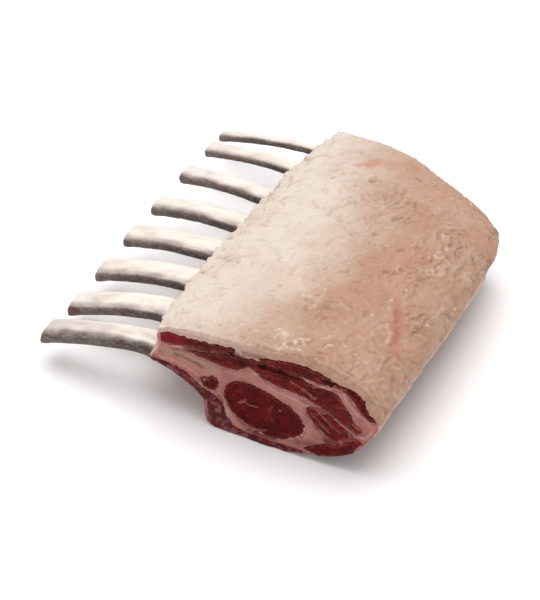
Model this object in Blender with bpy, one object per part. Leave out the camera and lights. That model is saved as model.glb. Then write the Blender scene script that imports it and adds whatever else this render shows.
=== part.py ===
"""Rack of lamb: eight trimmed rib bones under a loin of layered lean, with its cap of fat.

Lengths are in millimetres until a mesh is made, which is in metres. The loin is drawn once, as a
cross-section at the shoulder cut with X across the rack and Z up. Every layer of that drawing runs
the whole length of the rack, and place() says where a point of it lies at each stage of the way to
the loin cut. The bones arch from their bare tips through the loin to the backbone side. Muscles are
cut out of the fat around them, so that neighbours keep a thin gap.
"""

import math

import bpy
import numpy as np

MM = 0.001
GAP = 0.3

# The rack: its length at X = 0, how far the loin cut slants, and how the loin tapers towards it.
LENGTH = 178.0
END_SLANT = 0.35
SHOULDER_WIDTH = 58.5
SIDE_TAPER = 6.0
SIDE_ROUNDING = 6.4
TOP_TAPER = 0.13
TOP_ROUNDING = 0.17
# The top falls least over the saddle, a little to the rib side of the middle.
TOP_FALL = 1.05
SADDLE = 0.48
SADDLE_X = -16.0
SADDLE_WIDTH = 26.0
# The flap is the thin rib side. Behind the shoulder cut it spreads outwards and sags: by the first
# amount at its top, and by the second amount more for each flap's height below that. It also falls
# towards the loin cut: by the first amount at its foot, and by the second for each mm above that.
FLAP_SPREAD_AT = (28.0, 56.0)
FLAP_TOP = 48.0
FLAP_HEIGHT = 18.0
FLAP_DEEPEST = 1.1
FLAP_SPREAD = (7.6, 8.0)
FLAP_SAG = (3.7, 2.5)
SPREAD_LOST = 0.35
CORNER_RADIUS = 20.0
FLAP_FALL_AT = (20.0, 50.0)
FLAP_FOOT = 24.0
FLAP_FALL = (1.0, 0.42)
# The shares of the length at which the cross-section is set down.
STAGES = (0.0, 0.05, 0.14, 0.30, 0.52, 0.74, 0.90, 1.0)

# The cross-section at the shoulder cut: open lines run from the rib side to the backbone side, and
# the side of the seam fat runs down. The points of each line are spread evenly along it.
FAT_POINTS = 20
SIDE_POINTS = 5
CHINE_POINTS = 9
INNER_TOP_POINTS = 16
INNER_UNDERSIDE_POINTS = 13
FAT_TOP = [(-53.4, 49.0), (-46, 51.4), (-31, 53.4), (-12, 54.9), (10, 58.4),
           (26, 59.5), (40, 56.5), (51, 51), (58.4, 43.5), (59.2, 32.9)]
FAT_UNDERSIDE = [(-53.4, 45.6), (-47, 46.0), (-28, 47.6), (-15, 46.9), (-6, 46.4), (2, 49.2),
                 (13, 52.4), (24, 52.4), (33, 50.1), (43, 46.8), (49, 43), (51.4, 38.8),
                 (58.2, 33.0)]
SEAM_SIDE = [(-53.4, 45.0), (-53.2, 41.0), (-52.9, 38.8), (-54.6, 35.6), (-57.0, 32.0)]
INNER_TOP = [(-57.8, 30.4), (-47, 29.8), (-38.5, 28.0), (-33.5, 23.6), (-27, 20.4), (-21.5, 18.3),
             (-19.4, 13), (-17.4, 8.0), (-13, 4.0), (0, 3.7), (21, 4.1)]
INNER_UNDERSIDE = [(-57.9, 28.9), (-50.2, 26.8), (-44.5, 25.0), (-37.5, 20.8), (-31.4, 16.8),
                   (-29.7, 13.5), (-30.0, 8.0), (-29.6, 3.2), (-26.4, 0.8), (-21, 0.0)]
FLAT_END = (11.0, 0.0)
ON_THE_FLAT = 0.5
CHINE_CUT = [(21.6, 3.1), (33.5, 6.9), (41.8, 10.6), (48.0, 15.2), (52.9, 21.6), (58.2, 31.2)]

# Each muscle's number of points and its closed outline, anticlockwise.
MUSCLES = {
    "flap_muscle": (16, [(-52.2, 41.0), (-49.8, 40.2), (-45.4, 41.3), (-40.2, 43.2), (-34, 44.0),
                         (-28, 45.1), (-21, 46.2), (-16, 47.5), (-12.3, 50.2), (-16.5, 50.5),
                         (-28, 49.3), (-34, 48.6), (-39.5, 47.4), (-45, 48.6), (-51.8, 46.8)]),
    "strip_muscle": (22, [(-3.5, 49.6), (3, 48.0), (13, 47.3), (22, 47.6), (31, 46.6), (40, 46.8),
                          (45, 43.4), (48, 39.8), (51.6, 35.6), (56.6, 32.7), (57.2, 34.2),
                          (55.4, 36.7), (52.9, 39.0), (51.6, 43.4), (49.2, 46.9), (44.5, 49.2),
                          (37.5, 49.6), (30, 52.8), (20, 54.0), (8, 52.4)]),
    "cap_muscle": (28, [(-41.5, 40.6), (-34, 40.1), (-26, 39.5), (-18.8, 38.2), (-14, 38.5),
                        (-10.5, 41.2), (-6, 43.2), (-2.8, 42.4), (-0.6, 39.4), (4.5, 37.9),
                        (13, 37.2), (22, 35.9), (31, 33.2), (39.2, 28.9), (45, 25.4),
                        (50.2, 24.4), (52.0, 25.8), (48.4, 29.6), (43.4, 34.5), (41.3, 39.5),
                        (39.0, 43.2), (35, 45.0), (29, 44.4), (24, 45.0), (19, 47.0), (8, 48.4),
                        (-4, 48.2), (-16, 46.4), (-26, 44.0), (-35, 42.2)]),
    "eye_muscle": (18, [(-20.2, 21.4), (-15.6, 14.4), (-9.2, 9.4), (1, 6.6), (10, 6.8),
                        (18.6, 12.0), (22.7, 17.0), (19.6, 22.4), (16, 26.8), (5, 31.0),
                        (-5, 33.4), (-13, 32.6), (-19.0, 27.5)]),
    "wedge_muscle": (14, [(21.4, 29.6), (24.4, 25.2), (28.6, 21.0), (33, 17.2), (35.8, 16.0),
                          (41, 19.2), (44.6, 22.2), (42.6, 24.9), (37.4, 28.2), (32.4, 30.9),
                          (26.8, 32.3), (23.2, 31.8)]),
    "round_muscle": (12, [(-32.0, 27.2), (-31.0, 23.8), (-28.4, 22.4), (-24.6, 22.0),
                          (-22.6, 25.2), (-22.3, 28.8), (-24, 31.2), (-26, 31.2), (-27.6, 29.4),
                          (-30.2, 29.2)]),
    "edge_muscle": (16, [(20.6, 6.2), (24.6, 5.0), (29.0, 4.9), (35.5, 6.9), (41, 9.3),
                         (45.4, 12.3), (47.4, 15.6), (50.2, 19.6), (51.0, 21.8), (46.4, 20.4),
                         (41.4, 17.0), (37.4, 14.2), (34, 13.6), (30, 12.0), (24.6, 8.7)]),
}
# The muscles that stay whole where the one named first meets them.
WHOLE_BESIDE = {"cap_muscle": ("flap_muscle", "strip_muscle")}

# The bones: where each leaves the loin along the rack, its width and thickness, and its cut tip,
# which is set in at the top by its bevel. Inside the loin their inner faces follow the bed.
RIB_START = (10.1, 38.4, 65.1, 91.3, 116.8, 143.2, 172.3, 192.7)
RIB_WIDTH = (15.0, 16.0, 16.0, 15.4, 13.2, 11.2, 10.0, 6.8)
RIB_THICKNESS = (7.4, 7.0, 6.8, 6.6, 6.6, 6.0, 4.6, 4.0)
RIB_TIP_X = (-120.0, -122.0, -122.0, -121.6, -121.4, -120.8, -121.2, -124.6)
RIB_TIP_UNDERSIDE = (12.2, 7.7, 10.5, 14.0, 14.6, 17.2, 17.2, 12.4)
RIB_TIP_SHIFT = (-0.6, 0.0, 0.3, 0.8, 2.8, 3.6, 0.8, 0.9)
RIB_TIP_BEVEL = (3.4, 2.8, 2.0, 1.4, 0.8, 0.6, 0.6, 0.6)
RIB_BED = [(-57.9, 28.1), (-46, 24.6), (-38.2, 19.5), (-32.0, 15.2), (-29.0, 10.0), (-24.6, 3.6)]
RIB_ARCH = 1.7
RIB_LEAN = 0.26
RIB_STAGES = 12
RIB_SIDES = 8
RIB_SQUARENESS = 0.75

COLOURS = {
    "fat": (0.80, 0.66, 0.54),
    "seam": (0.55, 0.30, 0.26),
    "lean": (0.16, 0.015, 0.018),
    "bone": (0.72, 0.64, 0.54),
}


def ramp(value, low, high):
    """0 up to low, 1 from high, and a smooth rise between."""
    share = min(max((value - low) / (high - low), 0.0), 1.0)
    return share * share * (3 - 2 * share)


def loin_cut(x):
    """How far along the rack the slanting loin cut is at X."""
    return LENGTH - END_SLANT * x


def place(x, z, along):
    """Where a point of the cross-section lies at this share of the rack's length."""
    behind_cut = 1 - math.exp(-along * LENGTH / CORNER_RADIUS)
    spread = behind_cut * (1 - SPREAD_LOST * along**6) * ramp(-x, *FLAP_SPREAD_AT)
    depth = min(max((FLAP_TOP - z) / FLAP_HEIGHT, 0), FLAP_DEEPEST)
    narrowing = (SIDE_TAPER * along**2 + SIDE_ROUNDING * along**10) / SHOULDER_WIDTH
    saddle = SADDLE * math.exp(-(((x - SADDLE_X) / SADDLE_WIDTH) ** 2))
    lowering = (TOP_TAPER * along**2 + TOP_ROUNDING * along**8) * (TOP_FALL - saddle)
    flap = ramp(-x, *FLAP_FALL_AT)
    flap_fall = (FLAP_FALL[0] + FLAP_FALL[1] * (z - FLAP_FOOT)) / (TOP_TAPER + TOP_ROUNDING)
    drop = lowering * (z * (1 - flap) + flap_fall * flap)
    across = x * (1 - narrowing if x > 0 else 1) - spread * (FLAP_SPREAD[0] + FLAP_SPREAD[1] * depth)
    height = z - drop - spread * (FLAP_SAG[0] + FLAP_SAG[1] * depth)
    return across, along * loin_cut(across), height


def place_at(x, z, y):
    """Where a point of the cross-section lies at this distance along the rack."""
    along = y / LENGTH
    for _ in range(4):
        across = place(x, z, along)[0]
        along = y / loin_cut(across)
    across, _, height = place(x, z, along)
    return across, y, height


def smooth(points, count, closed=False):
    """Evenly spaced points along a Catmull-Rom curve through the ones given."""
    knots = np.array(points, float)
    if closed:
        knots = np.concatenate([knots[-1:], knots, knots[:2]])
    else:
        knots = np.concatenate([2 * knots[:1] - knots[1:2], knots, 2 * knots[-1:] - knots[-2:-1]])
    s = np.linspace(0, 1, 16, endpoint=False)[:, None]
    fine = []
    for a, b, c, d in zip(knots, knots[1:], knots[2:], knots[3:]):
        fine.append(b + (c - a) / 2 * s + (a - 2.5 * b + 2 * c - d / 2) * s**2
                    + (1.5 * (b - c) + (d - a) / 2) * s**3)
    fine = np.concatenate(fine + [knots[-2:-1]])
    length = np.concatenate([[0], np.cumsum(np.linalg.norm(np.diff(fine, axis=0), axis=1))])
    at = np.linspace(0, length[-1], count + 1 if closed else count)
    if closed:
        at = at[:-1]
    return np.stack([np.interp(at, length, column) for column in fine.T], axis=1)


def grown(outline, distance):
    """A closed anticlockwise outline moved outwards, or inwards if the distance is negative."""
    edges = np.roll(outline, -1, axis=0) - outline
    normals = np.stack([edges[:, 1], -edges[:, 0]], axis=1)
    normals /= np.linalg.norm(normals, axis=1)[:, None]
    corners = normals + np.roll(normals, 1, axis=0)
    reach = np.maximum((corners**2).sum(axis=1) / 2, 0.5)
    return outline + corners * (distance / reach)[:, None]


def mesh_object(name, points, faces, colour=None):
    mesh = bpy.data.meshes.new(name)
    mesh.from_pydata([tuple(MM * value for value in point) for point in points], [], faces)
    mesh.shade_smooth()
    mesh.set_sharp_from_angle(angle=math.radians(45))
    obj = bpy.data.objects.new(name, mesh)
    bpy.context.scene.collection.objects.link(obj)
    if colour:
        mesh.materials.append(colour)
    return obj


def tube_faces(stages, sides):
    """Faces of a closed tube whose rings are listed one after another."""
    faces = [list(range(sides)), list(reversed(range((stages - 1) * sides, stages * sides)))]
    for stage in range(stages - 1):
        for side in range(sides):
            a = stage * sides + side
            b = stage * sides + (side + 1) % sides
            faces.append([a, a + sides, b + sides])
            faces.append([a, b + sides, b])
    return faces


def layer(name, outline, colour=None, overrun=0.0):
    """A layer of the loin: its outline in the cross-section, carried to the loin cut or past it."""
    rings = [[place(x, z, along) for x, z in outline] for along in STAGES]
    if overrun:
        rings.insert(0, [(x, y - overrun, z) for x, y, z in rings[0]])
        rings.append([(x, y + overrun, z) for x, y, z in rings[-1]])
    points = [point for ring in rings for point in ring]
    return mesh_object(name, points, tube_faces(len(rings), len(outline)), colour)


def cutter(obj):
    obj.hide_render = True
    obj.display_type = "WIRE"
    return obj


def cut(obj, *tools):
    for tool in tools:
        boolean = obj.modifiers.new(tool.name, "BOOLEAN")
        boolean.operation = "DIFFERENCE"
        boolean.solver = "EXACT"
        boolean.object = tool


def rib_underside(number):
    """The line along the middle of the bone's inner face, from its tip inwards."""
    start = RIB_START[number]
    lean = RIB_LEAN * ((number + 1) / len(RIB_START)) ** 3
    inside = []
    for x, z in RIB_BED:
        across, _, height = place_at(x, z, start)
        y = start - lean * (across - place_at(*RIB_BED[0], start)[0])
        inside.append((across, y, height))
    tip = (RIB_TIP_X[number], start + RIB_TIP_SHIFT[number], RIB_TIP_UNDERSIDE[number])
    middle = [(a + b) / 2 for a, b in zip(tip, inside[0])]
    middle[2] += RIB_ARCH
    return smooth([tip, middle] + inside, RIB_STAGES)


def squared(value):
    """Bends a cosine or sine so that an oval becomes a rounded bar."""
    return math.copysign(abs(value) ** RIB_SQUARENESS, value)


def rib_mesh(number, clearance=0.0):
    """Points and faces of one bone, a flat oval swept along its arch."""
    path = rib_underside(number)
    half_width = RIB_WIDTH[number] / 2
    half_thickness = RIB_THICKNESS[number] / 2
    ahead = np.gradient(path, axis=0)
    ahead /= np.linalg.norm(ahead, axis=1)[:, None]
    if clearance:
        path[0] -= ahead[0] * clearance
        path[-1] += ahead[-1] * clearance
    points = []
    for stage, (underside, direction) in enumerate(zip(path, ahead)):
        side = np.cross((0, 0, 1), direction)
        side /= np.linalg.norm(side)
        up = np.cross(direction, side)
        middle = underside + up * half_thickness
        for step in range(RIB_SIDES):
            angle = -2 * math.pi * (step + 0.5) / RIB_SIDES
            wide = squared(math.cos(angle))
            thick = squared(math.sin(angle))
            bevel = RIB_TIP_BEVEL[number] * (1 + thick) / 2 * (stage == 0)
            points.append(tuple(middle + side * wide * (half_width + clearance)
                                + up * thick * (half_thickness + clearance) + direction * bevel))
    return points, tube_faces(RIB_STAGES, RIB_SIDES)


def rib_channels():
    """One cutter that holds every bone's channel through the loin."""
    points, faces = [], []
    for number in range(len(RIB_START)):
        more_points, more_faces = rib_mesh(number, GAP)
        faces += [[corner + len(points) for corner in face] for face in more_faces]
        points += more_points
    return cutter(mesh_object("rib_channels", points, faces))


def material(name, colour, roughness):
    made = bpy.data.materials.new(name)
    made.use_nodes = True
    shader = made.node_tree.nodes["Principled BSDF"]
    shader.inputs["Base Color"].default_value = (*colour, 1)
    shader.inputs["Roughness"].default_value = roughness
    return made


def ribs():
    colour = material("bone", COLOURS["bone"], 0.45)
    for number in range(len(RIB_START)):
        points, faces = rib_mesh(number)
        mesh_object(f"rib_{number + 1}", points, faces, colour)


def muscles():
    """Each muscle and the slightly larger cutter that makes room for it, by name."""
    colour = material("lean", COLOURS["lean"], 0.4)
    tools = {}
    for name, (count, points) in MUSCLES.items():
        outline = smooth(points, count, closed=True)
        tools[name] = cutter(layer(f"{name}_room", grown(outline, GAP / 2), overrun=1.0))
        muscle = layer(name, grown(outline, -GAP / 2), colour)
        cut(muscle, *(tools[other] for other in WHOLE_BESIDE.get(name, ())))
    return tools


def fat_cap(tools):
    top = smooth(FAT_TOP, FAT_POINTS)
    underside = smooth(FAT_UNDERSIDE, FAT_POINTS)
    outline = grown(np.concatenate([underside, top[::-1]]), -GAP / 2)
    cap = layer("fat_cap", outline, material("fat", COLOURS["fat"], 0.5))
    cut(cap, tools["flap_muscle"], tools["strip_muscle"], tools["cap_muscle"])


def seam_fat(tools, channels):
    """The fat between the muscles, from the cap down to the meat inside the bones."""
    top = smooth(FAT_UNDERSIDE, FAT_POINTS)
    side = smooth(SEAM_SIDE, SIDE_POINTS)
    chine = smooth(CHINE_CUT, CHINE_POINTS)
    inner = smooth(INNER_TOP, INNER_TOP_POINTS)
    outline = grown(np.concatenate([inner, chine, top[::-1], side]), -GAP / 2)
    seam = layer("seam_fat", outline, material("seam", COLOURS["seam"], 0.45))
    cut(seam, *tools.values(), channels)


def inner_meat(channels):
    """The lean on the inside of the bones and between them, with the flat that the rack rests on."""
    underside = smooth(INNER_UNDERSIDE, INNER_UNDERSIDE_POINTS)
    top = smooth(INNER_TOP, INNER_TOP_POINTS)
    outline = grown(np.concatenate([underside, [FLAT_END, CHINE_CUT[0]], top[::-1]]), -GAP / 2)
    on_the_flat = outline[:, 1] < ON_THE_FLAT
    outline[:, 1] += GAP / 2 * on_the_flat
    meat = layer("inner_meat", outline, material("inner_lean", COLOURS["lean"], 0.4))
    cut(meat, channels)


def stand_on_origin():
    """Moves every piece so that the origin is under the middle of the rack, at its lowest point."""
    meshes = [obj for obj in bpy.data.objects if obj.type == "MESH"]
    solid = np.array([point.co for obj in meshes if not obj.hide_render for point in obj.data.vertices])
    low, high = solid.min(axis=0), solid.max(axis=0)
    for obj in meshes:
        obj.location = (-(low[0] + high[0]) / 2, -(low[1] + high[1]) / 2, -low[2])


def main():
    for obj in list(bpy.data.objects):
        bpy.data.objects.remove(obj)
    channels = rib_channels()
    tools = muscles()
    fat_cap(tools)
    seam_fat(tools, channels)
    inner_meat(channels)
    ribs()
    stand_on_origin()


main()
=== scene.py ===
import itertools
import math

import bmesh
import bpy
import numpy as np
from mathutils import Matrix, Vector, kdtree


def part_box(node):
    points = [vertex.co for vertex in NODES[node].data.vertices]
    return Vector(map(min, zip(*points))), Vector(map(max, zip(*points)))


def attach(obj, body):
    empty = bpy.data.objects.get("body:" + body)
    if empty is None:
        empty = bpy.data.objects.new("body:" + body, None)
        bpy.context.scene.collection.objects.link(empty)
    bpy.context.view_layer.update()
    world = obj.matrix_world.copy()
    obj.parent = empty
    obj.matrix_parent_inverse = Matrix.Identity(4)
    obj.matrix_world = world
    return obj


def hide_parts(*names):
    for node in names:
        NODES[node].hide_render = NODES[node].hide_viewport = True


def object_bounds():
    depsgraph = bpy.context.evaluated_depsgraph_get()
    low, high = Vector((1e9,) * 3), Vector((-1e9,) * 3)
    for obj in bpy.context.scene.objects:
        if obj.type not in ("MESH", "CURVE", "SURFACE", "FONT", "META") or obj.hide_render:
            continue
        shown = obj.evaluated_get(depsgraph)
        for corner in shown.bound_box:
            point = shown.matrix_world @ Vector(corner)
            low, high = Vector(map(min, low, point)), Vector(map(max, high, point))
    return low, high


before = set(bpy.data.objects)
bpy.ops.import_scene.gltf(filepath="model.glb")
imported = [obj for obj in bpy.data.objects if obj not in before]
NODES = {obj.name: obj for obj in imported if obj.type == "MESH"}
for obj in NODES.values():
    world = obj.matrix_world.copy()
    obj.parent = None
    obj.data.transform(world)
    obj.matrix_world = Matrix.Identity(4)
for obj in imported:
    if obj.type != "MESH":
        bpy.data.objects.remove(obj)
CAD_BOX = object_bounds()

MM = 0.001
LIFT = 0.22  # how far each piece swells, in mm, so that the CAD model's gaps close

# The two cuts through the rack: the shoulder cut is square, the loin cut runs askew.
SHOULDER_Y = CAD_BOX[0].y
LOIN_SLANT = 0.35
LOIN_Y = max(v.co.y + LOIN_SLANT * v.co.x for o in NODES.values() for v in o.data.vertices)
RACK_LENGTH = LOIN_Y - SHOULDER_Y
FINE_ENDS = (0.05, 0.96)  # shares of the rack's length where the mesh is finest

LAYERS = {  # voxel in mm, how much longer the faces are between the cuts, smoothing passes
    "fat_cap": (0.68, 1.8, 24),
    "seam_fat": (0.66, 7.0, 3),
    "inner_meat": (0.58, 3.4, 6),
    "flap_muscle": (0.50, 11.0, 3),
    "strip_muscle": (0.50, 11.0, 3),
    "cap_muscle": (0.50, 11.0, 3),
    "eye_muscle": (0.50, 11.0, 3),
    "wedge_muscle": (0.50, 11.0, 3),
    "round_muscle": (0.45, 11.0, 3),
    "edge_muscle": (0.50, 7.0, 4),
}
SLOTS = {"fat_cap": "fat", "seam_fat": "seam_fat", "inner_meat": "inner_lean"}
RIBS = 8
RIB_VOXEL = 0.66

# Marks on the shoulder cut: lines through points (x, z), in mm, with their half width and strength.
DEEP = [
    (2.4, 0.25, [(-6, 46.4), (3, 47.0), (13, 47.4), (18, 48.2)]),
    (1.3, 1.3, [(32.3, 46), (34, 46.5)]),
    (1.2, 0.8, [(35, 46), (42, 46.8), (50, 46), (53, 45.8)]),
    (1.6, 1.0, [(65, 48.4), (69.3, 48.2)]),
    (0.6, 0.7, [(-12, 36.5), (-6, 36), (-2, 35), (3, 34)]),
    (0.9, 0.8, [(22, 8.2), (26, 7.2), (30, 6)]),
    (1.4, 0.5, [(77, 48.3), (83, 45), (85, 39), (89, 35.4)]),
    (0.6, 0.5, [(4.6, 28.4), (5, 25.8), (5.4, 24)]),
]
PALE = [
    (0.5, 0.6, [(21.5, 20.5), (24, 22), (26, 21), (31, 21.6)]),
    (0.8, 0.3, [(23, 21.5), (24.5, 23.4)]),
    (0.5, 0.8, [(42, 23.9), (42.3, 23.9)]),
    (0.7, 0.25, [(36.5, 22), (38, 24.5)]),
    (0.6, 0.25, [(38, 17.4), (38.5, 15)]),
    (0.6, 0.5, [(27.5, 6), (31, 8), (35, 9.3)]),
    (1.0, 0.8, [(-20, 40.4), (-13, 41), (-9, 41.4)]),
    (1.0, 0.5, [(-20.4, 46.4), (-20.4, 42)]),
    (1.4, 0.6, [(-22, 34), (-20.4, 38)]),
    (0.6, 0.7, [(-20, 32.6), (-10, 32), (-5, 31), (0, 29), (4, 27.4)]),
    (0.5, 0.8, [(0.5, 24.5), (2.5, 23), (5, 22.5), (8, 22.3)]),
    (0.7, 0.9, [(3, 27.8), (3.5, 26.8)]),
    (0.8, 0.7, [(3.6, 15), (4.3, 10), (4, 5), (5, 3)]),
    (0.4, 0.6, [(10.5, 13.5), (11.5, 10.5)]),
    (2.0, 0.45, [(15.4, 13), (18, 9), (20.4, 6.4)]),
    (1.0, 0.8, [(57, 39), (59.5, 37.6)]),
    (0.7, 0.5, [(47.5, 43), (51, 41.6), (54.5, 40.5), (59, 37.5)]),
    (0.8, 0.7, [(53.5, 47), (57, 45.5), (60, 44.3), (64, 45.6)]),
    (0.8, 0.8, [(66, 46), (69.5, 46.8), (72, 47.2)]),
    (1.0, 0.7, [(29, 40.6), (31, 40)]),
    (0.9, 0.6, [(22, 48.6), (28, 49)]),
    (0.6, 0.8, [(36, 35.5), (41, 34), (49.5, 33), (55.5, 32), (61.5, 31.3), (66, 29.8)]),
    (0.5, 0.6, [(70, 29.5), (75, 26), (79.5, 24)]),
    (0.6, 0.7, [(78.5, 29.5), (81, 28.2), (84.5, 28)]),
    (0.5, 0.6, [(62, 29.5), (68, 25), (72, 21.5)]),
    (0.5, 0.5, [(58, 28.5), (63, 24), (67, 19.5)]),
    (0.8, 0.6, [(79.5, 23.3), (84, 23.3), (88, 28.5)]),
    (0.5, 0.6, [(72, 17.5), (73.3, 16), (72.8, 14.5)]),
    (0.7, 0.7, [(73.7, 45), (75, 42), (77.5, 40), (80, 37), (83.5, 35.3), (86.5, 33)]),
]
# DARK marks paint shade into the gaps between the layers, over the DEEP grooves; some are the darkest lean.
DARK = [
    (1.5, 0.8, [(34, 46), (42, 46.6), (50, 45.8), (53, 45.6)]),
    (1.6, 1.0, [(32.3, 46), (34, 46.4)]),
    (2.0, 1.0, [(65, 48.3), (69.3, 48.2)]),
    (2.2, 0.6, [(77, 48.5), (81, 47), (83.5, 43), (85, 39), (89.5, 35)]),
    (1.2, 0.6, [(61, 43.5), (66, 43.6), (70, 43.5)]),
    (2.4, 0.55, [(12, 44), (18, 44.5), (25, 45.2)]),
    (2.4, 0.45, [(-6, 46.8), (3, 47.6), (13, 48.4), (19, 49.4)]),
    (1.4, 0.6, [(66.5, 18), (68.5, 17.8)]),
    (1.6, 0.6, [(50.5, 8.5), (58, 9.8), (66, 11.5)]),
    (2.6, 0.4, [(15.5, 23), (17.5, 15), (24, 10)]),
    (2.2, 0.4, [(44, 23), (51, 20)]),
    (1.2, 0.6, [(-23, 31), (-17, 29)]),
    (1.0, 0.6, [(12.5, 12), (14, 9)]),
    (0.9, 0.6, [(9, 16), (10, 13)]),
    (0.9, 0.5, [(7, 12), (8, 8)]),
    (0.5, 0.7, [(-12, 36.5), (-6, 36), (-2, 35), (3, 34)]),
    (0.9, 0.7, [(22, 8.2), (26, 7.2), (30, 6)]),
    (0.7, 0.5, [(55, 27), (60, 22), (65, 17.5)]),
    (0.7, 0.5, [(64, 27), (69, 22.6)]),
]
RED = [
    (4.0, 1.0, [(-17, 44.5), (-10, 46)]),
    (1.6, 0.6, [(-13, 29), (-8, 27), (-5, 24.5)]),
    (2.6, 0.5, [(72, 17.5), (79, 20.5), (83.5, 21.5)]),
    (3.5, 0.25, [(63, 37.6), (73, 36)]),
]
BROWN = [
    (2.0, 0.6, [(-12, 40), (-5, 41.6)]),
    (2.4, 0.9, [(-5, 43.2), (5, 43.4), (13, 45), (20, 46.6)]),
    (2.2, 0.9, [(19, 47.4), (25, 47), (31, 47)]),
    (1.6, 0.5, [(76, 45.5), (80, 44)]),
    (1.8, 0.5, [(24, 50.4), (30, 50.8), (36, 51)]),
]
FLESH = [
    (1.0, 0.8, [(10.6, 20.4), (12.0, 17)]),
    (1.3, 0.8, [(25, 5.6), (32, 5.2), (40, 5.8)]),
    (2.4, 0.9, [(61, 31.6), (67, 29.4), (73, 26.2), (80, 23)]),
    (3.0, 0.9, [(66, 14.6), (70, 16.4), (75, 18.4), (80, 21)]),
    (0.6, 0.6, [(52, 33.4), (58, 32.4), (64, 30.8)]),
    (0.7, 0.6, [(60, 20.4), (63, 17.6), (66, 15.4)]),
    (0.7, 0.5, [(74, 21), (80, 24.4), (84, 26)]),
    (0.6, 0.5, [(33, 41), (38, 39), (44, 37)]),
]
BEIGE = [
    (2.6, 0.9, [(-18, 37), (-8, 37.3), (0, 36.5), (8, 35.3)]),
]
MARKS = {"pale": PALE, "dark": DARK, "red": RED, "brown": BROWN, "flesh": FLESH, "beige": BEIGE}
# Marks on the fat: points (x, y) of the row frame, seen from above.
PINK_SPOTS = [
    (5.5, 1.0, [(9, 60), (10, 64)]),
    (7.0, 0.25, [(18, 64), (28, 70)]),
    (5.0, 0.6, [(28, 56), (37, 56)]),
    (9.0, 0.35, [(44, 52), (58, 48)]),
    (6.0, 0.5, [(74, 28), (84, 42)]),
    (7.0, 0.35, [(60, -8), (68, -32)]),
]
RED_STREAK = [
    (1.3, 1.0, [(72.5, -43), (76, -51), (79, -58), (82, -65)]),
    (3.0, 0.5, [(71.5, -40), (78, -56), (84, -70)]),
]
RIDGES = [
    (0.9, 0.8, [(68.5, -42), (75, -57), (80, -68)]),
    (1.1, 0.5, [(72, -68), (76, -78), (78, -86)]),
    (1.8, 0.8, [(70, 12), (73, 0), (76, -10)]),
    (1.3, 0.7, [(64, 14), (67, 4)]),
    (2.0, 0.8, [(28, -10), (22, -28), (20, -40)]),
    (1.8, 0.8, [(22, -44), (30, -54), (39, -63)]),
    (2.4, 1.0, [(34, -87), (42, -92), (53, -89)]),
    (1.6, 1.0, [(40, -96), (50, -97)]),
    (1.6, 0.7, [(2, -90), (14, -92), (24, -90)]),
]
# PITS are sunk into the fat, and painted shade darkens them.
PITS = [
    (1.3, 1.0, [(17, 45), (17.5, 45.3)]),
    (1.0, 0.9, [(16, 23), (16.4, 23)]),
    (1.5, 1.0, [(56, -6), (57, -5.6)]),
    (0.9, 1.0, [(17, -53), (17.4, -53)]),
    (0.9, 0.8, [(10, -10), (10.5, -10)]),
    (1.4, 1.0, [(58, -25), (59, -26)]),
    (1.2, 0.8, [(-2, 41), (-1.4, 41.4)]),
    (1.6, 0.9, [(35, 61), (37, 60)]),
    (1.2, 0.8, [(-14, -88), (-12, -87)]),
]


# ---------------------------------------------------------------- numbers


def ramp(value, low, high):
    """0 at low, 1 at high, with a smooth change between."""
    part = np.clip((value - low) / (high - low), 0.0, 1.0)
    return part * part * (3 - 2 * part)


SLOPES = np.array([s for s in itertools.product((-1, 0, 1), repeat=3) if s.count(0) == 1], float)


def noise(points, size, seed, stretch=(1, 1, 1)):
    """Smooth heights from about -1 to 1 at points in metres, in lumps about size mm across."""
    spot = points / (size * MM * np.array(stretch)) + 11.37 * seed
    cell = np.floor(spot).astype(np.int64)
    part = spot - cell
    ease = part**3 * (part * (part * 6 - 15) + 10)
    total = np.zeros(len(points))
    for corner in itertools.product((0, 1), repeat=3):
        at = cell + corner
        key = at[:, 0] * 374761393 + at[:, 1] * 668265263 + at[:, 2] * 1440662683 + seed * 97463477
        key = (key ^ (key >> 13)) * 1274126177
        key = key ^ (key >> 16)
        slope = SLOPES[key % len(SLOPES)]
        weight = np.prod(np.where(corner, ease, 1 - ease), axis=1)
        total += weight * np.einsum("ij,ij->i", slope, part - corner)
    return total * 1.5


def creases(points, size, seed, width=0.16, stretch=(1, 1, 1)):
    """1 along thin winding lines about size mm apart, 0 elsewhere."""
    return 1 - ramp(np.abs(noise(points, size, seed, stretch)), 0.0, width)


def puffs(points, size, seed, stretch=(1, 1, 1)):
    """Rounded lumps about size mm across with sharp valleys between, from 0 to about 1."""
    return np.minimum(np.abs(noise(points, size, seed, stretch)) * 1.6, 1.0)


def terraces(level):
    """Overlapping flakes: a slow rise and a steep drop each time the level grows by 1, from 0 to 1."""
    part = level - np.floor(level)
    return np.minimum(part / 0.78, (1 - part) / 0.22)


def strokes(flat, marks, wobble):
    """How strongly each point of flat, in mm, lies on one of the marks."""
    found = np.zeros(len(flat))
    for half_width, strength, line in marks:
        line = np.array(line, float)
        nearest = np.full(len(flat), 1e9)
        for a, b in zip(line[:-1], line[1:]):
            run = b - a
            share = np.clip(((flat - a) @ run) / (run @ run), 0, 1)
            nearest = np.minimum(nearest, np.linalg.norm(flat - a - share[:, None] * run, axis=1))
        reach = nearest / half_width * (1 + wobble)
        found = np.maximum(found, strength * (1 - ramp(reach, 0.35, 1.15)))
    return found


def share_along(points):
    """0 on the shoulder cut, 1 on the loin cut."""
    return (points[:, 1] - SHOULDER_Y) / (LOIN_Y - LOIN_SLANT * points[:, 0] - SHOULDER_Y)


# ---------------------------------------------------------------- meshes


def read_points(mesh):
    flat = np.empty(len(mesh.vertices) * 3)
    mesh.vertices.foreach_get("co", flat)
    return flat.reshape(-1, 3)


def write_points(mesh, points):
    mesh.vertices.foreach_set("co", points.astype(np.float32).ravel())
    mesh.update()


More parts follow.
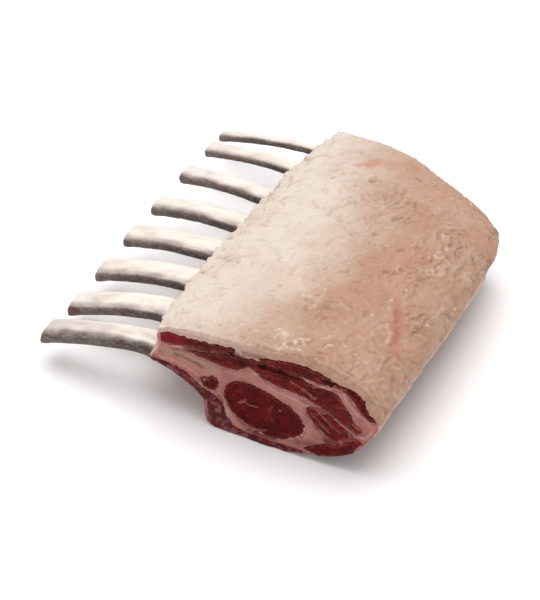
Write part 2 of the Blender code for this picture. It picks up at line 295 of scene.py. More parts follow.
def read_normals(mesh):
    flat = np.empty(len(mesh.vertices) * 3)
    mesh.vertex_normals.foreach_get("vector", flat)
    return flat.reshape(-1, 3)


def read_edges(mesh):
    flat = np.empty(len(mesh.edges) * 2, np.int64)
    mesh.edges.foreach_get("vertices", flat)
    return flat.reshape(-1, 2)


def relaxed(points, edges, passes, amount):
    """Points drawn towards the middle of their neighbours."""
    a, b = edges.T
    total = len(points)
    near = np.bincount(a, minlength=total) + np.bincount(b, minlength=total)
    for _ in range(passes):
        middle = np.stack(
            [np.bincount(a, points[b, k], total) + np.bincount(b, points[a, k], total) for k in range(3)], 1
        )
        points = points + (middle / near[:, None] - points) * np.reshape(amount, (-1, 1))
    return points


def squeeze_marks(stretch):
    low, high = FINE_ENDS
    between = (high - low) / stretch
    return np.array([0, low, low + between, low + between + 1 - high]) * RACK_LENGTH


def squeezed(points, stretch):
    """The rack shortened between its cuts, so that even voxels come out long there."""
    share = share_along(points)
    marks = squeeze_marks(stretch)
    beyond = np.minimum(share, 0) + np.maximum(share - 1, 0)
    place = np.interp(share, (0, *FINE_ENDS, 1), marks) + beyond * RACK_LENGTH
    return np.column_stack((points[:, 0], place, points[:, 2]))


def unsqueezed(points, stretch):
    marks = squeeze_marks(stretch)
    place = points[:, 1]
    beyond = np.minimum(place, 0) + np.maximum(place - marks[-1], 0)
    share = np.interp(place, marks, (0, *FINE_ENDS, 1)) + beyond / RACK_LENGTH
    length = LOIN_Y - LOIN_SLANT * points[:, 0] - SHOULDER_Y
    return np.column_stack((points[:, 0], SHOULDER_Y + share * length, points[:, 2]))


def sliced_copy(node):
    """The node's mesh, with an edge wherever the squeeze changes."""
    body = bmesh.new()
    body.from_mesh(NODES[node].data)
    for share in FINE_ENDS:
        normal = Vector((share * LOIN_SLANT, 1, 0))
        on_cut = Vector((0, SHOULDER_Y + share * RACK_LENGTH, 0))
        parts = [*body.verts, *body.edges, *body.faces]
        bmesh.ops.bisect_plane(body, geom=parts, plane_co=on_cut, plane_no=normal)
    bmesh.ops.triangulate(body, faces=body.faces)
    mesh = bpy.data.meshes.new(node + "_sliced")
    body.to_mesh(mesh)
    body.free()
    return mesh


def voxelled(mesh, voxel):
    """An even mesh of quads round a closed one."""
    holder = bpy.data.objects.new("holder", mesh)
    bpy.context.scene.collection.objects.link(holder)
    remesh = holder.modifiers.new("voxels", "REMESH")
    remesh.mode = "VOXEL"
    remesh.voxel_size = voxel * MM
    depsgraph = bpy.context.evaluated_depsgraph_get()
    made = bpy.data.meshes.new_from_object(holder.evaluated_get(depsgraph), depsgraph=depsgraph)
    bpy.data.objects.remove(holder)
    bpy.data.meshes.remove(mesh)
    return made


def layer_mesh(node):
    voxel, stretch, passes = LAYERS[node]
    mesh = sliced_copy(node)
    write_points(mesh, squeezed(read_points(mesh), stretch))
    mesh = voxelled(mesh, voxel)
    points = read_points(mesh)
    edges = read_edges(mesh)
    marks = squeeze_marks(stretch)
    from_cut = np.minimum(points[:, 1], marks[-1] - points[:, 1]) / MM
    amount = 0.5 * (0.25 + 0.75 * ramp(from_cut, 1.0, 6.0))
    points = relaxed(points, edges, passes, amount)
    write_points(mesh, unsqueezed(points, stretch))
    return mesh


def shown(name, mesh, node, material):
    """The finished piece: smooth shaded, riding on the root body in its node's place."""
    mesh.name = name
    mesh.polygons.foreach_set("use_smooth", np.ones(len(mesh.polygons), bool))
    mesh.materials.clear()
    mesh.materials.append(material)
    piece = bpy.data.objects.new(name, mesh)
    bpy.context.scene.collection.objects.link(piece)
    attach(piece, "root")
    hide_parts(node)
    return piece


def add_mask(mesh, name, values):
    mesh.attributes.new(name, "FLOAT", "POINT").data.foreach_set("value", values.astype(np.float32))


def add_grain(mesh, points):
    """Coordinates that follow the layers of muscle, in mm: along them, across them and into the cut."""
    x, y, z = (points / MM).T
    bend = 0.5 * 0.0143 * np.maximum(x - 40, 0) ** 2
    lean = 0.12 * np.maximum(20 - x, 0)
    grain = np.column_stack((x / 6.0, (z + bend - lean) / 1.1, y / 14.0))
    grain += 0.35 * np.column_stack([noise(points, 7, s) for s in (31, 32, 33)])
    mesh.attributes.new("grain", "FLOAT_VECTOR", "POINT").data.foreach_set(
        "vector", grain.astype(np.float32).ravel()
    )


def rim_distance(points, normals, on_cut):
    """How far each point on a cut lies from the cut's edge, in mm."""
    side = np.abs(normals[:, 1]) < 0.6
    close = np.minimum(share_along(points), 1 - share_along(points)) * RACK_LENGTH < 1.2 * MM
    rim = np.flatnonzero(side & close)
    tree = kdtree.KDTree(len(rim))
    for k, p in enumerate(points[rim]):
        tree.insert(p, k)
    tree.balance()
    far = np.full(len(points), 9.0)
    for k in np.flatnonzero(on_cut):
        far[k] = tree.find(points[k])[2] / MM
    return far


def cut_masks(points, normals):
    """Masks for the two cut faces."""
    share = share_along(points)
    depth = share * RACK_LENGTH / MM
    wobble = 0.45 * noise(points, 2.2, 5)
    shift = np.column_stack([noise(points, 3.0, 6), noise(points, 3.0, 7)]) * 0.5
    flat = points[:, (0, 2)] / MM + shift
    near = 1 - ramp(depth, 2.0, 5.0)
    masks = {name: strokes(flat, marks, wobble) * near for name, marks in MARKS.items()}
    masks["deep"] = strokes(flat, DEEP, wobble) * (1 - ramp(depth, 3.0, 8.0))
    facing = np.where(share < 0.5, -normals[:, 1], normals[:, 1])
    ends = (share * RACK_LENGTH < 1.5 * MM) | ((1 - share) * RACK_LENGTH < 1.5 * MM)
    masks["cut"] = ramp(facing, 0.5, 0.8) * ends
    return masks


def cut_relief(points, masks):
    """How far the shoulder cut stands proud, in mm, the same for every layer so that none gapes."""
    wavy = 0.35 * noise(points, 9, 41) + 0.22 * noise(points, 3.6, 42) + 0.12 * noise(points, 1.7, 43)
    end = np.minimum(share_along(points), 1 - share_along(points)) * RACK_LENGTH / MM
    return (wavy - 0.25) * (1 - ramp(end, 2.0, 6.0)) - masks["deep"]


def lean_piece(node, material):
    mesh = layer_mesh(node)
    points, normals = read_points(mesh), read_normals(mesh)
    masks = cut_masks(points, normals)
    on_cut = masks["cut"] > 0.2
    edge = rim_distance(points, normals, on_cut)
    masks["edge"] = (1 - ramp(edge, 0.2, 1.6)) * on_cut
    relief = cut_relief(points, masks) + 0.15 * ramp(edge, 0.0, 2.0) * on_cut
    outward = np.where(share_along(points) < 0.5, -1.0, 1.0)
    swell = np.column_stack((normals[:, 0], 0.2 * normals[:, 1], normals[:, 2])) * (LIFT + 0.08) * MM
    points = points + swell
    points[:, 1] += outward * relief * MM
    write_points(mesh, points)
    for name, values in masks.items():
        add_mask(mesh, name, values)
    add_grain(mesh, points)
    return shown(node.replace("_muscle", "_lean"), mesh, node, material)


def seam_piece(material):
    mesh = layer_mesh("seam_fat")
    points, normals = read_points(mesh), read_normals(mesh)
    masks = cut_masks(points, normals)
    on_cut = masks["cut"] > 0.2
    masks["edge"] = (1 - ramp(rim_distance(points, normals, on_cut), 0.1, 1.4)) * on_cut
    outward = np.where(share_along(points) < 0.5, -1.0, 1.0)
    side = ramp(np.abs(normals[:, 0]) + 0.5 * normals[:, 2], 0.35, 0.75) * (1 - masks["cut"])
    bent = points + 0.003 * np.column_stack([noise(points, 9, s) for s in (61, 62, 63)])
    lumpy = 0.6 * noise(bent, 9, 64, (1, 2, 1)) + 0.5 * puffs(bent, 5, 65, (1, 2.2, 1)) + 0.25 * noise(points, 2.6, 66)
    points = points + normals * (LIFT + side * (lumpy - 0.05))[:, None] * MM
    points[:, 1] += outward * cut_relief(points, masks) * MM
    write_points(mesh, points)
    for name, values in masks.items():
        add_mask(mesh, name, values)
    add_grain(mesh, points)
    return shown("seam_fat_layer", mesh, "seam_fat", material)


def fat_relief(points, normals, masks):
    """Lumps, crumbs and creases of the outer fat, in mm."""
    from_cut = share_along(points) * RACK_LENGTH / MM
    right = ramp(points[:, 0] / MM, 0, 55)
    edge_band = 1 - ramp(from_cut, 9, 22)
    patchy = ramp(noise(points, 22, 3), -0.05, 0.35)
    rim = ramp(-normals[:, 0], 0.15, 0.5)
    rough = np.clip(0.15 + 0.5 * edge_band + 0.8 * patchy * (0.35 + 0.65 * right) + 0.3 * right + rim, 0, 1.1)
    bent = points + 0.0022 * np.column_stack([noise(points, 7, s) for s in (15, 16, 17)])
    lumps = 0.6 * noise(points, 19, 1) + 0.45 * noise(points, 8.5, 2)
    folds = puffs(bent, 4.4, 4, (2.8, 0.6, 1))
    flakes = terraces(2.1 * noise(bent, 16, 18, (1.0, 1.3, 1)) + 0.3 * noise(points, 5, 19))
    layers = edge_band * (0.7 * folds + 0.3 * flakes) + (1 - edge_band) * flakes
    crumbs = 0.75 * layers + 0.35 * noise(bent, 3.4, 26, (1.5, 0.8, 1)) + 0.2 * noise(points, 1.9, 20) - 0.35
    lines = creases(bent, 11, 9, 0.07) * ramp(noise(points, 15, 10), -0.1, 0.3)
    # Painted shade in the creases and in the valleys between flakes.
    shade = lines * (0.3 + 0.5 * right) + (1 - ramp(layers, 0.02, 0.3)) * rough
    masks["crease_shade"] = np.clip(shade * ramp(noise(points, 6, 27), -0.35, 0.25), 0, 1)
    # Pale crumbs, with painted highlight on their tops.
    masks["chalk_and_highlight"] = np.clip((crumbs - 0.12) * rough * 2.0, 0, 1)
    ragged_edge = rim * (0.9 * noise(points, 7, 24) + 0.5 * noise(points, 3, 25))
    return lumps + (0.1 + rough) * crumbs * 1.4 - 0.5 * lines * (0.3 + rough) + ragged_edge


def rounded_rim(points, normals):
    """The outer fat with its edge at the shoulder cut rounded off, most on the backbone side."""
    depth = share_along(points) * RACK_LENGTH / MM
    skin = np.flatnonzero((depth < 1.5) & (np.abs(normals[:, 1]) < 0.5) & (normals[:, 2] > -0.3))
    tree = kdtree.KDTree(len(skin))
    for k, p in enumerate(points[skin]):
        tree.insert((p[0], 0, p[2]), k)
    tree.balance()
    moved = points.copy()
    for k in np.flatnonzero(depth < 4.5):
        p = points[k]
        near = [skin[found[1]] for found in tree.find_n((p[0], 0, p[2]), 9)]
        out = normals[near].mean(axis=0) * (1, 0, 1)
        out /= np.linalg.norm(out)
        below = max((points[near].mean(axis=0) - p) @ out / MM, 0.0)
        radius = 2.0 + 1.6 * float(ramp(p[0] / MM, 20, 60))
        along, inwards = depth[k] - radius, below - radius
        if along < 0 and inwards < 0:
            share = max(-along, -inwards) / math.hypot(along, inwards) - 1
            moved[k, 1] += along * share * MM
            moved[k] -= out * inwards * share * MM
    return moved


def fat_piece(material):
    mesh = layer_mesh("fat_cap")
    write_points(mesh, rounded_rim(read_points(mesh), read_normals(mesh)))
    points, normals = read_points(mesh), read_normals(mesh)
    masks = cut_masks(points, normals)
    outer = ramp(normals[:, 2], -0.35, 0.15) * (1 - masks["cut"])
    relief = fat_relief(points, normals, masks)
    above = points[:, :2] / MM
    wobble = 0.5 * noise(points, 5, 14)
    top = ramp(normals[:, 2], -0.1, 0.2)
    masks["pink"] = strokes(above, PINK_SPOTS, wobble) * top
    masks["streak"] = strokes(above, RED_STREAK, wobble) * top
    # Painted shade in the pits.
    masks["pit_shade"] = strokes(above, PITS, wobble) * top
    shifted = above + 1.6 * np.column_stack([noise(points, 6, s) for s in (34, 35)])
    broken = ramp(noise(points, 4, 36), -0.3, 0.2)
    masks["ridge"] = strokes(shifted, RIDGES, 1.2 * noise(points, 3, 37)) * top * broken
    relief += 0.6 * masks["ridge"] * (0.4 + puffs(points, 3, 29)) - 0.4 * masks["streak"] - 0.9 * masks["pit_shade"]
    rim = ramp(np.abs(normals[:, 1]), 0.25, 0.6) * (1 - masks["cut"])
    moved = points + normals * (LIFT + relief * outer * (1 - 0.5 * rim))[:, None] * MM
    outward = np.where(share_along(points) < 0.5, -1.0, 1.0)
    crumbled = 0.6 * (puffs(points, 3.0, 28) - 0.4) * masks["cut"]
    moved[:, 1] += outward * (cut_relief(points, masks) + crumbled) * MM
    write_points(mesh, moved)
    for name, values in masks.items():
        add_mask(mesh, name, values)
    return shown("fat_cap_layer", mesh, "fat_cap", material)


def rib_middles():
    """Each rib's middle across the rack at the meat, in metres."""
    return [sum(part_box(f"rib_{k + 1}")[i][1] for i in (0, 1)) / 2 for k in range(RIBS)]


def inner_piece(material):
    mesh = layer_mesh("inner_meat")
    points, normals = read_points(mesh), read_normals(mesh)
    masks = cut_masks(points, normals)
    below = ramp(-normals[:, 2] - 0.6 * normals[:, 0], -0.1, 0.5) * (1 - masks["cut"])
    to_rib = np.min([np.abs(points[:, 1] - y) for y in rib_middles()], axis=0) / MM
    over_rib = 1 - ramp(to_rib, 3.5, 8.0)
    relief = 0.5 * noise(points, 11, 21) + 0.25 * noise(points, 4, 22) + 0.9 * over_rib - 0.6
    relief -= 0.35 * creases(points, 10, 23, 0.12, (2, 1, 2))
    floor_gap = ramp(points[:, 2] / MM, 0.0, 1.5)
    masks["over_rib"] = over_rib
    masks["below"] = below
    moved = points + normals * (LIFT + relief * below * floor_gap)[:, None] * MM
    outward = np.where(share_along(points) < 0.5, -1.0, 1.0)
    moved[:, 1] += outward * cut_relief(points, masks) * MM
    moved[:, 2] = np.maximum(moved[:, 2], 0.02 * MM)
    write_points(mesh, moved)
    for name, values in masks.items():
        add_mask(mesh, name, values)
    add_grain(mesh, moved)
    return shown("inner_meat_layer", mesh, "inner_meat", material)


def rib_piece(number, material):
    node = f"rib_{number}"
    mesh = voxelled(NODES[node].data.copy(), RIB_VOXEL)
    points = relaxed(read_points(mesh), read_edges(mesh), 9, 0.5)
    write_points(mesh, points)
    normals = read_normals(mesh)
    low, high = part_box(node)
    from_tip = (points[:, 0] - low[0]) / MM
    tip = ramp(-normals[:, 0], 0.35, 0.7) * (1 - ramp(from_tip, 4.0, 6.0))
    seed = 50 + number
    knobbly = 0.22 * noise(points, 9, seed, (1.8, 1, 1)) + 0.1 * noise(points, 3, seed + 10)
    flare = 0.35 * (1 - ramp(from_tip, 2, 8)) * (1 - tip)
    shaved = 0.12 * creases(points, 5, seed + 20, 0.2, (4, 1, 1))
    points = points + normals * (0.38 + (knobbly + flare - shaved) * (1 - 0.6 * tip))[:, None] * MM
    write_points(mesh, points)
    # turned is highest on the faces towards the near end and below, which face away from the lamp.
    turned = 0.5 * (1 - normals[:, 1] - normals[:, 2]) + 0.09 * noise(points, 5, seed + 30, (2, 1, 1))
    # Painted shade: the nearest rib is darker over more of its side.
    turned += 0.1 if number == 1 else 0.0
    to_meat = ramp(from_tip, 5, 60)
    # side is the skin left on the bones, with painted shade; shade and low are painted shade.
    add_mask(mesh, "side", ramp(turned, 0.12, 0.46))
    add_mask(mesh, "shade", ramp(turned, -0.04, 0.24))
    add_mask(mesh, "tip", tip)
    add_mask(mesh, "inward", to_meat)
    add_mask(mesh, "low", ramp(turned, 0.35, 0.95))
    add_mask(mesh, "under", ramp(-normals[:, 2], 0.55, 0.9))
    # Painted shade: the ribs greyer near their tips, rib 1 the most.
    add_mask(mesh, "tip_shade", (1 - ramp(from_tip, 8, 30)) * (0.9 if number == 1 else 0.3))
    add_mask(mesh, "blood", (1 - ramp(from_tip, 3, 12)) if number == 2 else np.zeros(len(points)))
    return shown(f"rib_{number}_bone", mesh, node, material)


# ---------------------------------------------------------------- materials


def tone(red, green, blue):
    """A colour as it shows on a screen, from 0 to 255, as the shader wants it."""
    shares = [c / 255 for c in (red, green, blue)]
    return [s / 12.92 if s <= 0.04045 else ((s + 0.055) / 1.055) ** 2.4 for s in shares] + [1.0]


class Paint:
    """A material with short ways to add its nodes."""

    def __init__(self, name):
        self.material = bpy.data.materials.new(name)
        self.material.use_nodes = True
        self.tree = self.material.node_tree
        self.shader = self.tree.nodes["Principled BSDF"]
        self.where = self.tree.nodes.new("ShaderNodeTexCoord").outputs["Object"]

    def link(self, value, socket):
        if isinstance(value, bpy.types.NodeSocket):
            self.tree.links.new(value, socket)
        else:
            socket.default_value = value

    def add(self, kind, values=(), **settings):
        node = self.tree.nodes.new(kind)
        for key, setting in settings.items():
            setattr(node, key, setting)
        for key, value in dict(values).items():
            self.link(value, node.inputs[key])
        return node

    def sized(self, size, stretch=(1, 1, 1)):
        scale = [1 / (size * MM * s) for s in stretch]
        return self.add("ShaderNodeMapping", {"Vector": self.where, "Scale": scale}).outputs[0]

    def noise(self, size, detail=3.0, stretch=(1, 1, 1), twist=0.0, vector=None):
        place = self.sized(size, stretch) if vector is None else vector
        values = {"Vector": place, "Scale": 1.0, "Detail": detail, "Roughness": 0.6, "Distortion": twist}
        return self.add("ShaderNodeTexNoise", values).outputs["Fac"]

    def cells(self, size, stretch=(1, 1, 1)):
        values = {"Vector": self.sized(size, stretch), "Scale": 1.0}
        return self.add("ShaderNodeTexVoronoi", values, feature="F1").outputs["Distance"]

    def mask(self, name):
        return self.add("ShaderNodeAttribute", attribute_name=name).outputs["Fac"]

    def grain(self, scale=1.0):
        found = self.add("ShaderNodeAttribute", attribute_name="grain").outputs["Vector"]
        return self.add("ShaderNodeMapping", {"Vector": found, "Scale": [scale] * 3}).outputs[0]

    def math(self, operation, a, b=0.0, clamp=False):
        return self.add("ShaderNodeMath", {0: a, 1: b}, operation=operation, use_clamp=clamp).outputs[0]

    def span(self, value, low, high, to_low=0.0, to_high=1.0):
        values = {"Value": value, "From Min": low, "From Max": high, "To Min": to_low, "To Max": to_high}
        return self.add("ShaderNodeMapRange", values, interpolation_type="SMOOTHSTEP").outputs[0]

    def blend(self, share, a, b):
        node = self.add("ShaderNodeMix", data_type="RGBA")
        self.link(share, node.inputs[0])
        self.link(a, node.inputs[6])
        self.link(b, node.inputs[7])
        return node.outputs[2]

    def bump(self, heights, strength=1.0):
        """heights is a list of (height socket, mm)."""
        total = None
        for height, amount in heights:
            part = self.math("MULTIPLY", height, amount * MM)
            total = part if total is None else self.math("ADD", total, part)
        values = {"Height": total, "Strength": strength, "Distance": 1.0}
        self.link(self.add("ShaderNodeBump", values).outputs[0], self.shader.inputs["Normal"])

    def finish(self, colour, roughness, specular=0.5):
        self.link(colour, self.shader.inputs["Base Color"])
        self.link(roughness, self.shader.inputs["Roughness"])
        self.shader.inputs["Specular IOR Level"].default_value = specular
        return self.material


def lean_paint(name, dark, middle, streak, streaks=0.5, marbling=0.5):
    """Cut muscle: mottled red with pale streaks along its grain, and a dull wet sheen."""
    paint = Paint(name)
    broad = paint.noise(7, 2.0)
    fine = paint.noise(1.6, 4.0)
    fibres = paint.noise(1, 3.0, vector=paint.grain())
    thin = paint.noise(1, 4.0, twist=0.5, vector=paint.grain(2.1))
    dim = paint.noise(1, 3.0, vector=paint.grain(1.5))
    colour = paint.blend(paint.span(broad, 0.36, 0.64), dark, middle)
    colour = paint.blend(paint.span(fine, 0.35, 0.75, 0.0, 0.35), colour, dark)
    colour = paint.blend(paint.span(dim, 0.52, 0.66, 0.0, 0.6), colour, tone(58, 6, 6))
    lines = paint.span(fibres, 0.56, 0.72, 0.0, streaks)
    threads = paint.span(thin, 0.56, 0.68, 0.0, marbling)
    colour = paint.blend(lines, colour, streak)
    colour = paint.blend(threads, colour, streak)
    colour = paint.blend(paint.math("MULTIPLY", paint.mask("red"), 0.7), colour, tone(128, 14, 28))
    colour = paint.blend(paint.math("MULTIPLY", paint.mask("brown"), 0.7), colour, tone(88, 34, 26))
    # Painted shade in the gaps between layers, and the darkest lean, where the DARK marks lie.
    colour = paint.blend(paint.math("MULTIPLY", paint.mask("dark"), 0.85), colour, tone(40, 3, 4))
    pale = paint.math("MULTIPLY", paint.mask("pale"), paint.span(fine, 0.35, 0.6, 0.35, 1.0))
    colour = paint.blend(pale, colour, tone(176, 108, 102))
    ragged = paint.math("MULTIPLY", paint.mask("edge"), paint.span(fine, 0.42, 0.6, 0.0, 0.55))
    colour = paint.blend(ragged, colour, tone(136, 66, 60))
    roughness = paint.span(paint.noise(2.5, 3.0), 0.3, 0.7, 0.32, 0.5)
    paint.bump([(fine, 0.25), (fibres, 0.35), (paint.noise(0.6, 2.0), 0.1)], 0.8)
    return paint.finish(colour, roughness, 0.05)


def seam_paint():
    """Fat and gristle between the muscles: matte pink, beige in the middle of the thin side."""
    paint = Paint("seam_fat_look")
    broad = paint.noise(9, 2.0)
    fibres = paint.noise(1, 4.0, twist=0.4, vector=paint.grain(1.2))
    colour = paint.blend(paint.span(broad, 0.35, 0.65), tone(152, 94, 88), tone(172, 115, 107))
    colour = paint.blend(paint.span(fibres, 0.45, 0.75, 0.0, 0.5), colour, tone(146, 84, 78))
    strands = paint.noise(3.4, 4.0, (1, 4, 1), 0.6)
    side = paint.blend(paint.span(strands, 0.38, 0.62), tone(206, 176, 160), tone(190, 146, 132))
    side = paint.blend(paint.span(paint.noise(2.2, 4.0, (1, 3, 1)), 0.54, 0.68, 0.0, 0.55), side, tone(150, 78, 70))
    colour = paint.blend(paint.mask("cut"), side, colour)
    colour = paint.blend(paint.mask("beige"), colour, tone(158, 122, 106))
    colour = paint.blend(paint.mask("brown"), colour, tone(96, 48, 38))
    colour = paint.blend(paint.mask("flesh"), colour, tone(84, 22, 22))
    ragged = paint.math("MULTIPLY", paint.mask("edge"), paint.span(paint.noise(1.6, 4.0), 0.42, 0.6, 0.1, 0.7))
    colour = paint.blend(ragged, colour, tone(128, 62, 56))
    # Painted shade in the gaps between layers, where the DARK marks lie.
    colour = paint.blend(paint.math("MULTIPLY", paint.mask("dark"), 0.7), colour, tone(66, 30, 26))
    colour = paint.blend(paint.math("MULTIPLY", paint.mask("red"), 0.4), colour, tone(150, 52, 56))
    colour = paint.blend(paint.math("MULTIPLY", paint.mask("pale"), 0.8), colour, tone(196, 146, 138))
    roughness = paint.span(fibres, 0.3, 0.7, 0.5, 0.62)
    paint.bump([(fibres, 0.3), (paint.noise(1.2, 3.0), 0.15)], 0.8)
    return paint.finish(colour, roughness, 0.2)


def fat_paint():
    """Outer fat: cream to the left, tan and pinkish to the right, partly its own colour and partly painted shade,
    creased and crumbly, with painted shade in its creases and pits and painted highlight on its crumbs.
    """
    paint = Paint("fat_look")
    # Cream to tan towards the right, the far end and the shoulder cut: partly the fat's own colour, partly painted
    # shade on the slopes turned from the lamp.
    split = paint.add("ShaderNodeSeparateXYZ", {"Vector": paint.where})
    far = paint.math("MULTIPLY", paint.math("MAXIMUM", split.outputs["Y"], 0.0), 0.25)
    close = paint.math("SUBTRACT", -62 * MM, split.outputs["Y"])
    close = paint.math("MULTIPLY", paint.math("MAXIMUM", close, 0.0), 0.3)
    place = paint.math("ADD", split.outputs["X"], paint.math("ADD", far, close))
    to_right = paint.span(place, -6 * MM, 60 * MM)
    drift = paint.span(paint.noise(30, 2.0), 0.3, 0.7, -0.14, 0.14)
    warm_and_shade = paint.math("ADD", to_right, drift, clamp=True)
    colour = paint.blend(warm_and_shade, tone(214, 200, 187), tone(176, 136, 112))
    blotch = paint.span(paint.noise(11, 4.0, twist=0.5), 0.5, 0.78, 0.0, 0.35)
    colour = paint.blend(blotch, colour, tone(192, 152, 134))
    mottle = paint.math("MULTIPLY", paint.span(paint.noise(3.2, 4.0), 0.48, 0.75, 0.0, 0.4), warm_and_shade)
    colour = paint.blend(mottle, colour, tone(158, 117, 96))
    # Painted shade in the creases and in the valleys between flakes.
    colour = paint.blend(paint.math("MULTIPLY", paint.mask("crease_shade"), 0.6), colour, tone(144, 104, 82))
    # Pale crumbs, with painted highlight on their tops.
    colour = paint.blend(paint.math("MULTIPLY", paint.mask("chalk_and_highlight"), 0.25), colour, tone(216, 196, 176))
    colour = paint.blend(paint.math("MULTIPLY", paint.mask("pink"), 0.75), colour, tone(186, 134, 110))
    ridge = paint.math("MULTIPLY", paint.mask("ridge"), paint.span(paint.noise(2.2, 3.0), 0.4, 0.6, 0.1, 0.6))
    colour = paint.blend(ridge, colour, tone(226, 204, 186))
    colour = paint.blend(paint.math("MULTIPLY", paint.mask("streak"), 0.55), colour, tone(168, 84, 72))
    # Painted shade in the pits.
    colour = paint.blend(paint.math("MULTIPLY", paint.mask("pit_shade"), 0.5), colour, tone(134, 98, 78))
    rim = paint.blend(warm_and_shade, tone(180, 136, 126), tone(178, 132, 116))
    on_rim = paint.math("MULTIPLY", paint.mask("cut"), paint.span(warm_and_shade, 0.0, 0.9, 0.75, 0.3))
    colour = paint.blend(on_rim, colour, rim)
    colour = paint.blend(paint.mask("brown"), colour, tone(100, 50, 42))
    roughness = paint.span(paint.noise(4, 3.0), 0.3, 0.7, 0.45, 0.65)
    heights = [(paint.noise(2.4, 5.0), 0.7), (paint.noise(0.9, 3.0), 0.26), (paint.cells(2.0), 0.22)]
    paint.bump(heights, 0.9)
    return paint.finish(colour, roughness, 0.25)


def inner_paint():
    """The rib side: dark lean under a thin grey-pink skin, paler over each rib."""
    paint = Paint("inner_lean_look")
    broad = paint.noise(8, 3.0)
    fibres = paint.noise(1, 4.0, vector=paint.grain(1.5))
    colour = paint.blend(paint.span(broad, 0.35, 0.65), tone(74, 8, 12), tone(100, 20, 22))
    colour = paint.blend(paint.span(fibres, 0.55, 0.75, 0.0, 0.4), colour, tone(136, 66, 64))
    colour = paint.blend(paint.span(paint.noise(3.4, 4.0), 0.46, 0.62, 0.0, 0.8), colour, tone(134, 80, 84))
    colour = paint.blend(paint.span(paint.noise(2.0, 3.0), 0.55, 0.68, 0.0, 0.7), colour, tone(48, 6, 10))
    skin = paint.blend(paint.span(paint.noise(6, 4.0), 0.35, 0.7), tone(138, 60, 60), tone(192, 140, 132))
    skin = paint.blend(paint.math("MULTIPLY", paint.mask("over_rib"), 0.6), skin, tone(214, 176, 164))
    colour = paint.blend(paint.math("MULTIPLY", paint.mask("below"), 0.8), colour, skin)
    colour = paint.blend(paint.math("MULTIPLY", paint.mask("red"), 0.6), colour, tone(120, 10, 28))
    # Painted shade in the gaps between layers, and the darkest lean, where the DARK marks lie.
    colour = paint.blend(paint.math("MULTIPLY", paint.mask("dark"), 0.8), colour, tone(34, 4, 6))
    colour = paint.blend(paint.math("MULTIPLY", paint.mask("pale"), 0.8), colour, tone(182, 122, 116))
    roughness = paint.span(broad, 0.3, 0.7, 0.34, 0.48)
    paint.bump([(fibres, 0.3), (paint.noise(1.4, 3.0), 0.2)], 0.8)
    return paint.finish(colour, roughness, 0.12)


def bone_paint():
    """Scraped ribs: ivory above, grey-brown on the near side and below, where skin is left and shade is painted."""
    paint = Paint("bone_look")
    mottle = paint.noise(4, 4.0, (2.5, 1, 1))
    streaks = paint.noise(2.2, 4.0, (5, 1, 1), 0.4)
    specks = paint.noise(1.1, 3.0, (2, 1, 1))
    colour = paint.blend(paint.span(mottle, 0.35, 0.7), tone(236, 229, 219), tone(224, 212, 203))
    blush = paint.span(paint.noise(14, 2.0), 0.5, 0.75, 0.0, 0.35)
    colour = paint.blend(blush, colour, tone(218, 196, 191))
    # Painted shade: greyer near the tips, most on rib 1.
    colour = paint.blend(paint.math("MULTIPLY", paint.mask("tip_shade"), 0.7), colour, tone(190, 178, 172))
    shade = paint.math("MULTIPLY", paint.mask("shade"), paint.span(mottle, 0.3, 0.7, 0.35, 0.9))
    colour = paint.blend(shade, colour, tone(190, 175, 168))
    skin = paint.blend(paint.span(streaks, 0.35, 0.65), tone(142, 127, 118), tone(94, 80, 73))
    # Painted shade: darker still on the lowest part of the side.
    skin = paint.blend(paint.math("MULTIPLY", paint.mask("low"), 0.6), skin, tone(66, 52, 48))
    inward = paint.math("MULTIPLY", paint.mask("inward"), paint.span(streaks, 0.3, 0.6, 0.5, 1.0))
    skin = paint.blend(inward, skin, tone(58, 40, 38))
    skin = paint.blend(paint.span(specks, 0.55, 0.7, 0.0, 0.6), skin, tone(60, 46, 42))
    skin = paint.blend(paint.math("MULTIPLY", paint.mask("blood"), 0.85), skin, tone(88, 26, 30))
    film = paint.blend(paint.span(mottle, 0.35, 0.65), tone(196, 170, 160), tone(150, 108, 100))
    skin = paint.blend(paint.math("MULTIPLY", paint.mask("under"), 0.8), skin, film)
    # The side band: skin left on the bone, with painted shade.
    side = paint.math("MULTIPLY", paint.mask("side"), paint.span(specks, 0.3, 0.5, 0.8, 0.97))
    colour = paint.blend(side, colour, skin)
    end = paint.blend(paint.mask("shade"), tone(206, 194, 194), tone(128, 106, 106))
    colour = paint.blend(paint.math("MULTIPLY", paint.mask("tip"), 0.85), colour, end)
    roughness = paint.span(paint.noise(3, 3.0), 0.3, 0.7, 0.42, 0.58)
    paint.bump([(mottle, 0.2), (streaks, 0.25), (specks, 0.08)], 0.8)
    return paint.finish(colour, roughness, 0.3)


def floor_paint():
    paint = Paint("floor_look")
    soft = paint.span(paint.noise(60, 2.0), 0.3, 0.7, 0.0, 1.0)
    colour = paint.blend(soft, [0.955, 0.955, 0.955, 1.0], [0.965, 0.965, 0.965, 1.0])
    return paint.finish(colour, 0.9, 0.1)


# ---------------------------------------------------------------- the studio


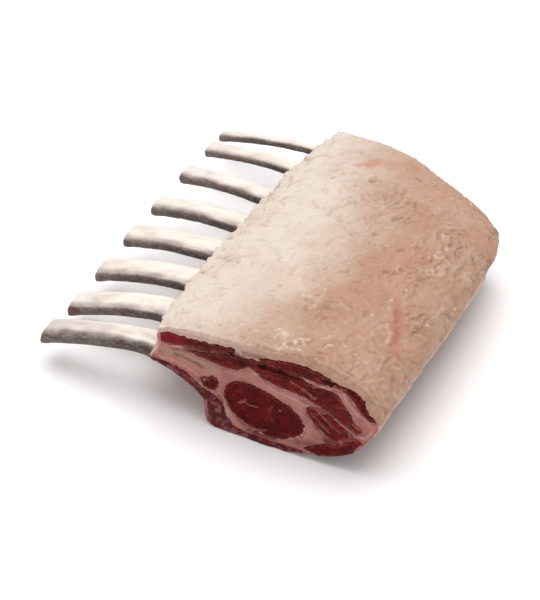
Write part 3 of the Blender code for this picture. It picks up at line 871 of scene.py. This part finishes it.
def floor():
    side = 4.0
    mesh = bpy.data.meshes.new("floor")
    corners = [(-side, -side, 0), (side, -side, 0), (side, side, 0), (-side, side, 0)]
    mesh.from_pydata(corners, [], [(0, 1, 2, 3)])
    mesh.materials.append(floor_paint())
    made = bpy.data.objects.new("floor", mesh)
    bpy.context.scene.collection.objects.link(made)


def lamp(name, place, target, size, power):
    light = bpy.data.lights.new(name, "AREA")
    light.shape = "DISK"
    light.size = size
    light.energy = power
    made = bpy.data.objects.new(name, light)
    made.location = place
    made.rotation_mode = "QUATERNION"
    made.rotation_quaternion = (Vector(target) - Vector(place)).to_track_quat("-Z", "Y")
    bpy.context.scene.collection.objects.link(made)


def studio():
    scene = bpy.context.scene
    world = bpy.data.worlds.new("studio")
    world.use_nodes = True
    world.node_tree.nodes["Background"].inputs["Color"].default_value = (1, 1, 1, 1)
    world.node_tree.nodes["Background"].inputs["Strength"].default_value = 0.71
    scene.world = world
    scene.view_settings.view_transform = "Standard"
    lamp("window", (-0.04, 0.08, 1.3), (0, 0, 0.02), 1.5, 14.0)
    camera = bpy.data.cameras.new("camera")
    camera.lens = 157.1
    camera.sensor_width = 36.0
    camera.clip_start = 0.05
    made = bpy.data.objects.new("camera", camera)
    made.location = (0.4531, -0.9035, 0.7917)
    made.rotation_mode = "QUATERNION"
    made.rotation_quaternion = Vector((-0.36264, 0.69961, -0.61566)).to_track_quat("-Z", "Y")
    scene.collection.objects.link(made)
    scene.camera = made


# ---------------------------------------------------------------- the rack


def rack():
    lean = lean_paint("lean_look", tone(68, 5, 4), tone(100, 15, 12), tone(156, 86, 78), 0.55, 0.6)
    eye = lean_paint("eye_look", tone(70, 3, 5), tone(96, 9, 10), tone(140, 60, 56), 0.22, 0.22)
    for node in LAYERS:
        if node.endswith("_muscle"):
            lean_piece(node, eye if node == "eye_muscle" else lean)
    seam_piece(seam_paint())
    inner_piece(inner_paint())
    fat_piece(fat_paint())
    bone = bone_paint()
    for number in range(1, RIBS + 1):
        rib_piece(number, bone)


studio()
floor()
rack()
